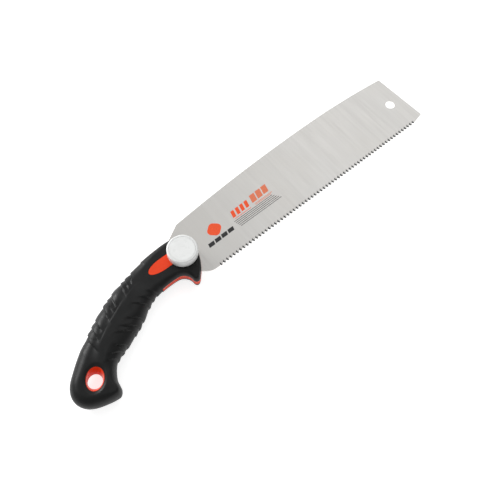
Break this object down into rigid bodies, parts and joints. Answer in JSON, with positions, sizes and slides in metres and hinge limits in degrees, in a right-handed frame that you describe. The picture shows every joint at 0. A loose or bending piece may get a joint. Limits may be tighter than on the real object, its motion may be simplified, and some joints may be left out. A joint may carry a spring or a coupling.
{
  "type": "pull saw",
  "caption": "Pistol-grip pull saw: a toothed steel blade in the handle's slot, held and angled by a round clamping knob, with a hanging hole in the butt.",
  "frame": {"origin": "centre of the bottom of the bounding box, with the saw lying on its rear side", "axes": "+X along the blade from the handle to the tip, +Z out of the side that has the knob, -Y on the toothed side"},
  "size_m": [0.4302, 0.1056, 0.0301],
  "materials": {
    "saw_steel": "satin ground saw steel with soft tonal bands",
    "orange_nylon": "moulded orange-red nylon, lightly glossy",
    "black_rubber": "soft black over-moulded rubber with raised ribs",
    "white_nylon": "smooth white nylon",
    "zinc_steel": "bright zinc-plated steel"
  },
  "bodies": {
    "handle": {"core_front": "orange_nylon", "core_rear": "orange_nylon", "skin_front": "black_rubber", "skin_rear": "black_rubber", "nut_cover": "orange_nylon", "pivot_bush": "zinc_steel", "clamp_nut": "zinc_steel", "stop_pin": "zinc_steel", "thrust_washer_front": "zinc_steel", "thrust_washer_rear": "zinc_steel", "shell_screw_1": "zinc_steel", "shell_screw_2": "zinc_steel", "shell_screw_3": "zinc_steel", "shell_screw_4": "zinc_steel", "shell_screw_5": "zinc_steel"},
    "blade": {"blade": "saw_steel"},
    "washers": {"clamp_washer": "zinc_steel", "spring_washer": "zinc_steel"},
    "knob": {"knob_body": "white_nylon", "knob_cap": "white_nylon", "clamp_screw": "zinc_steel"}
  },
  "joints": [
    {"name": "blade_angle", "type": "hinge", "parent": "handle", "child": "blade", "pos_m": [-0.06746, 0.0148, 0.0125], "axis": [0, 0, 1], "range_deg": [-15, 90]},
    {"name": "knob_lift", "type": "slide", "parent": "handle", "child": "washers", "axis": [0, 0, 1], "range_m": [0, 0.002]},
    {"name": "knob_turn", "type": "hinge", "parent": "washers", "child": "knob", "pos_m": [-0.06746, 0.0148, 0.0125], "axis": [0, 0, 1], "range_deg": [0, 720]}
  ],
  "couplings": [
    {"joint": "knob_lift", "follows": "knob_turn", "m_per_rad": 0.00015915}
  ]
}
